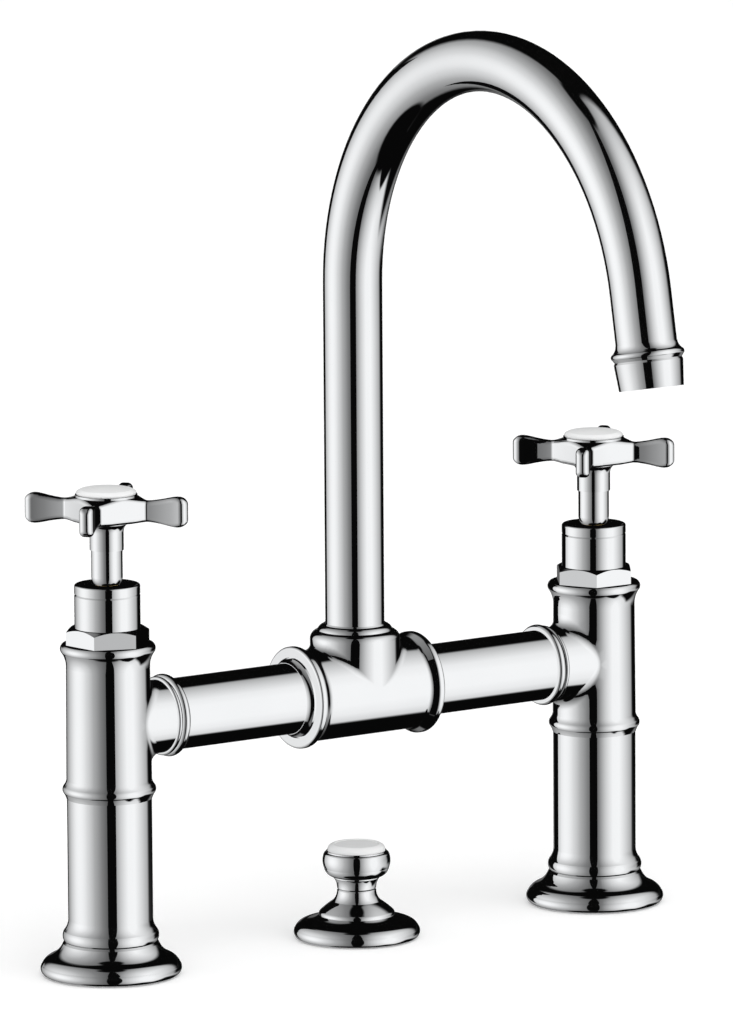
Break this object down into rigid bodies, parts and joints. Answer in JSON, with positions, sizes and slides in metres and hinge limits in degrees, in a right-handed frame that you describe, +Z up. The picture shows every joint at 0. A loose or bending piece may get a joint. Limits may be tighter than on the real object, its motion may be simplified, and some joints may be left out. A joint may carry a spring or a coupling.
{
  "type": "two-handle basin mixer",
  "caption": "Deck-mounted bridge basin mixer with cross handles, ceramic-disc valves, a swivelling swan-neck spout with aerator, and a lift knob for the waste.",
  "frame": {"origin": "on the deck, where the turning axis of the spout and the axis of the pull rod meet it, midway between the pillars", "axes": "+Z up from the deck, +X along the bridge from the hot (left) to the cold (right) pillar, -Y towards the user, the way the spout points"},
  "size_m": [0.2474, 0.2037, 0.3171],
  "materials": {
    "chrome": "polished",
    "brass": "machined",
    "steel": "brushed",
    "rubber": "matt",
    "plastic": "moulded",
    "valve_ceramic": "lapped",
    "white_ceramic": "glazed"
  },
  "bodies": {
    "mixer": {"hot_base_flange": "chrome", "hot_base_seal": "rubber", "hot_lower_sleeve": "chrome", "hot_tail_connector": "brass", "hot_tail_washer": "rubber", "hot_pillar_body": "chrome", "hot_seat_ring": "rubber", "hot_cartridge_body": "brass", "hot_fixed_disc": "valve_ceramic", "hot_bonnet_nut": "chrome", "hot_bonnet_sleeve": "chrome", "hot_bridge_tube": "chrome", "hot_bridge_rings": "rubber", "hot_trim_ring": "chrome", "cold_base_flange": "chrome", "cold_base_seal": "rubber", "cold_lower_sleeve": "chrome", "cold_tail_connector": "brass", "cold_tail_washer": "rubber", "cold_pillar_body": "chrome", "cold_seat_ring": "rubber", "cold_cartridge_body": "brass", "cold_fixed_disc": "valve_ceramic", "cold_bonnet_nut": "chrome", "cold_bonnet_sleeve": "chrome", "cold_bridge_tube": "chrome", "cold_bridge_rings": "rubber", "cold_trim_ring": "chrome", "tee_body": "chrome", "spout_glide_ring": "plastic", "spout_stop_screw": "steel", "waste_rosette": "chrome", "rosette_seal": "rubber"},
    "hot_handle": {"hot_turning_disc": "valve_ceramic", "hot_spindle": "brass", "hot_spindle_ring": "rubber", "hot_stem_sleeve": "chrome", "hot_handle_cross": "chrome", "hot_handle_cap": "white_ceramic", "hot_handle_screw": "steel"},
    "cold_handle": {"cold_turning_disc": "valve_ceramic", "cold_spindle": "brass", "cold_spindle_ring": "rubber", "cold_stem_sleeve": "chrome", "cold_handle_cross": "chrome", "cold_handle_cap": "white_ceramic", "cold_handle_screw": "steel"},
    "spout": {"spout_spigot": "brass", "spout_rings": "rubber", "spout_tube": "chrome", "outlet_sleeve": "chrome", "aerator_seal": "rubber", "aerator_insert": "plastic", "aerator_screen": "steel"},
    "waste_knob": {"lift_knob": "chrome", "knob_cap": "white_ceramic", "pull_rod": "steel"}
  },
  "joints": [
    {"name": "hot_turn", "type": "hinge", "parent": "mixer", "child": "hot_handle", "pos_m": [-0.1, 0, 0.157], "axis": [0, 0, 1], "range_deg": [0, 90]},
    {"name": "cold_turn", "type": "hinge", "parent": "mixer", "child": "cold_handle", "pos_m": [0.1, 0, 0.157], "axis": [0, 0, 1], "range_deg": [-90, 0]},
    {"name": "spout_swivel", "type": "hinge", "parent": "mixer", "child": "spout", "pos_m": [0, 0, 0.1], "axis": [0, 0, 1], "range_deg": [-60, 60]},
    {"name": "waste_lift", "type": "slide", "parent": "mixer", "child": "waste_knob", "axis": [0, 0, 1], "range_m": [0, 0.012]}
  ]
}
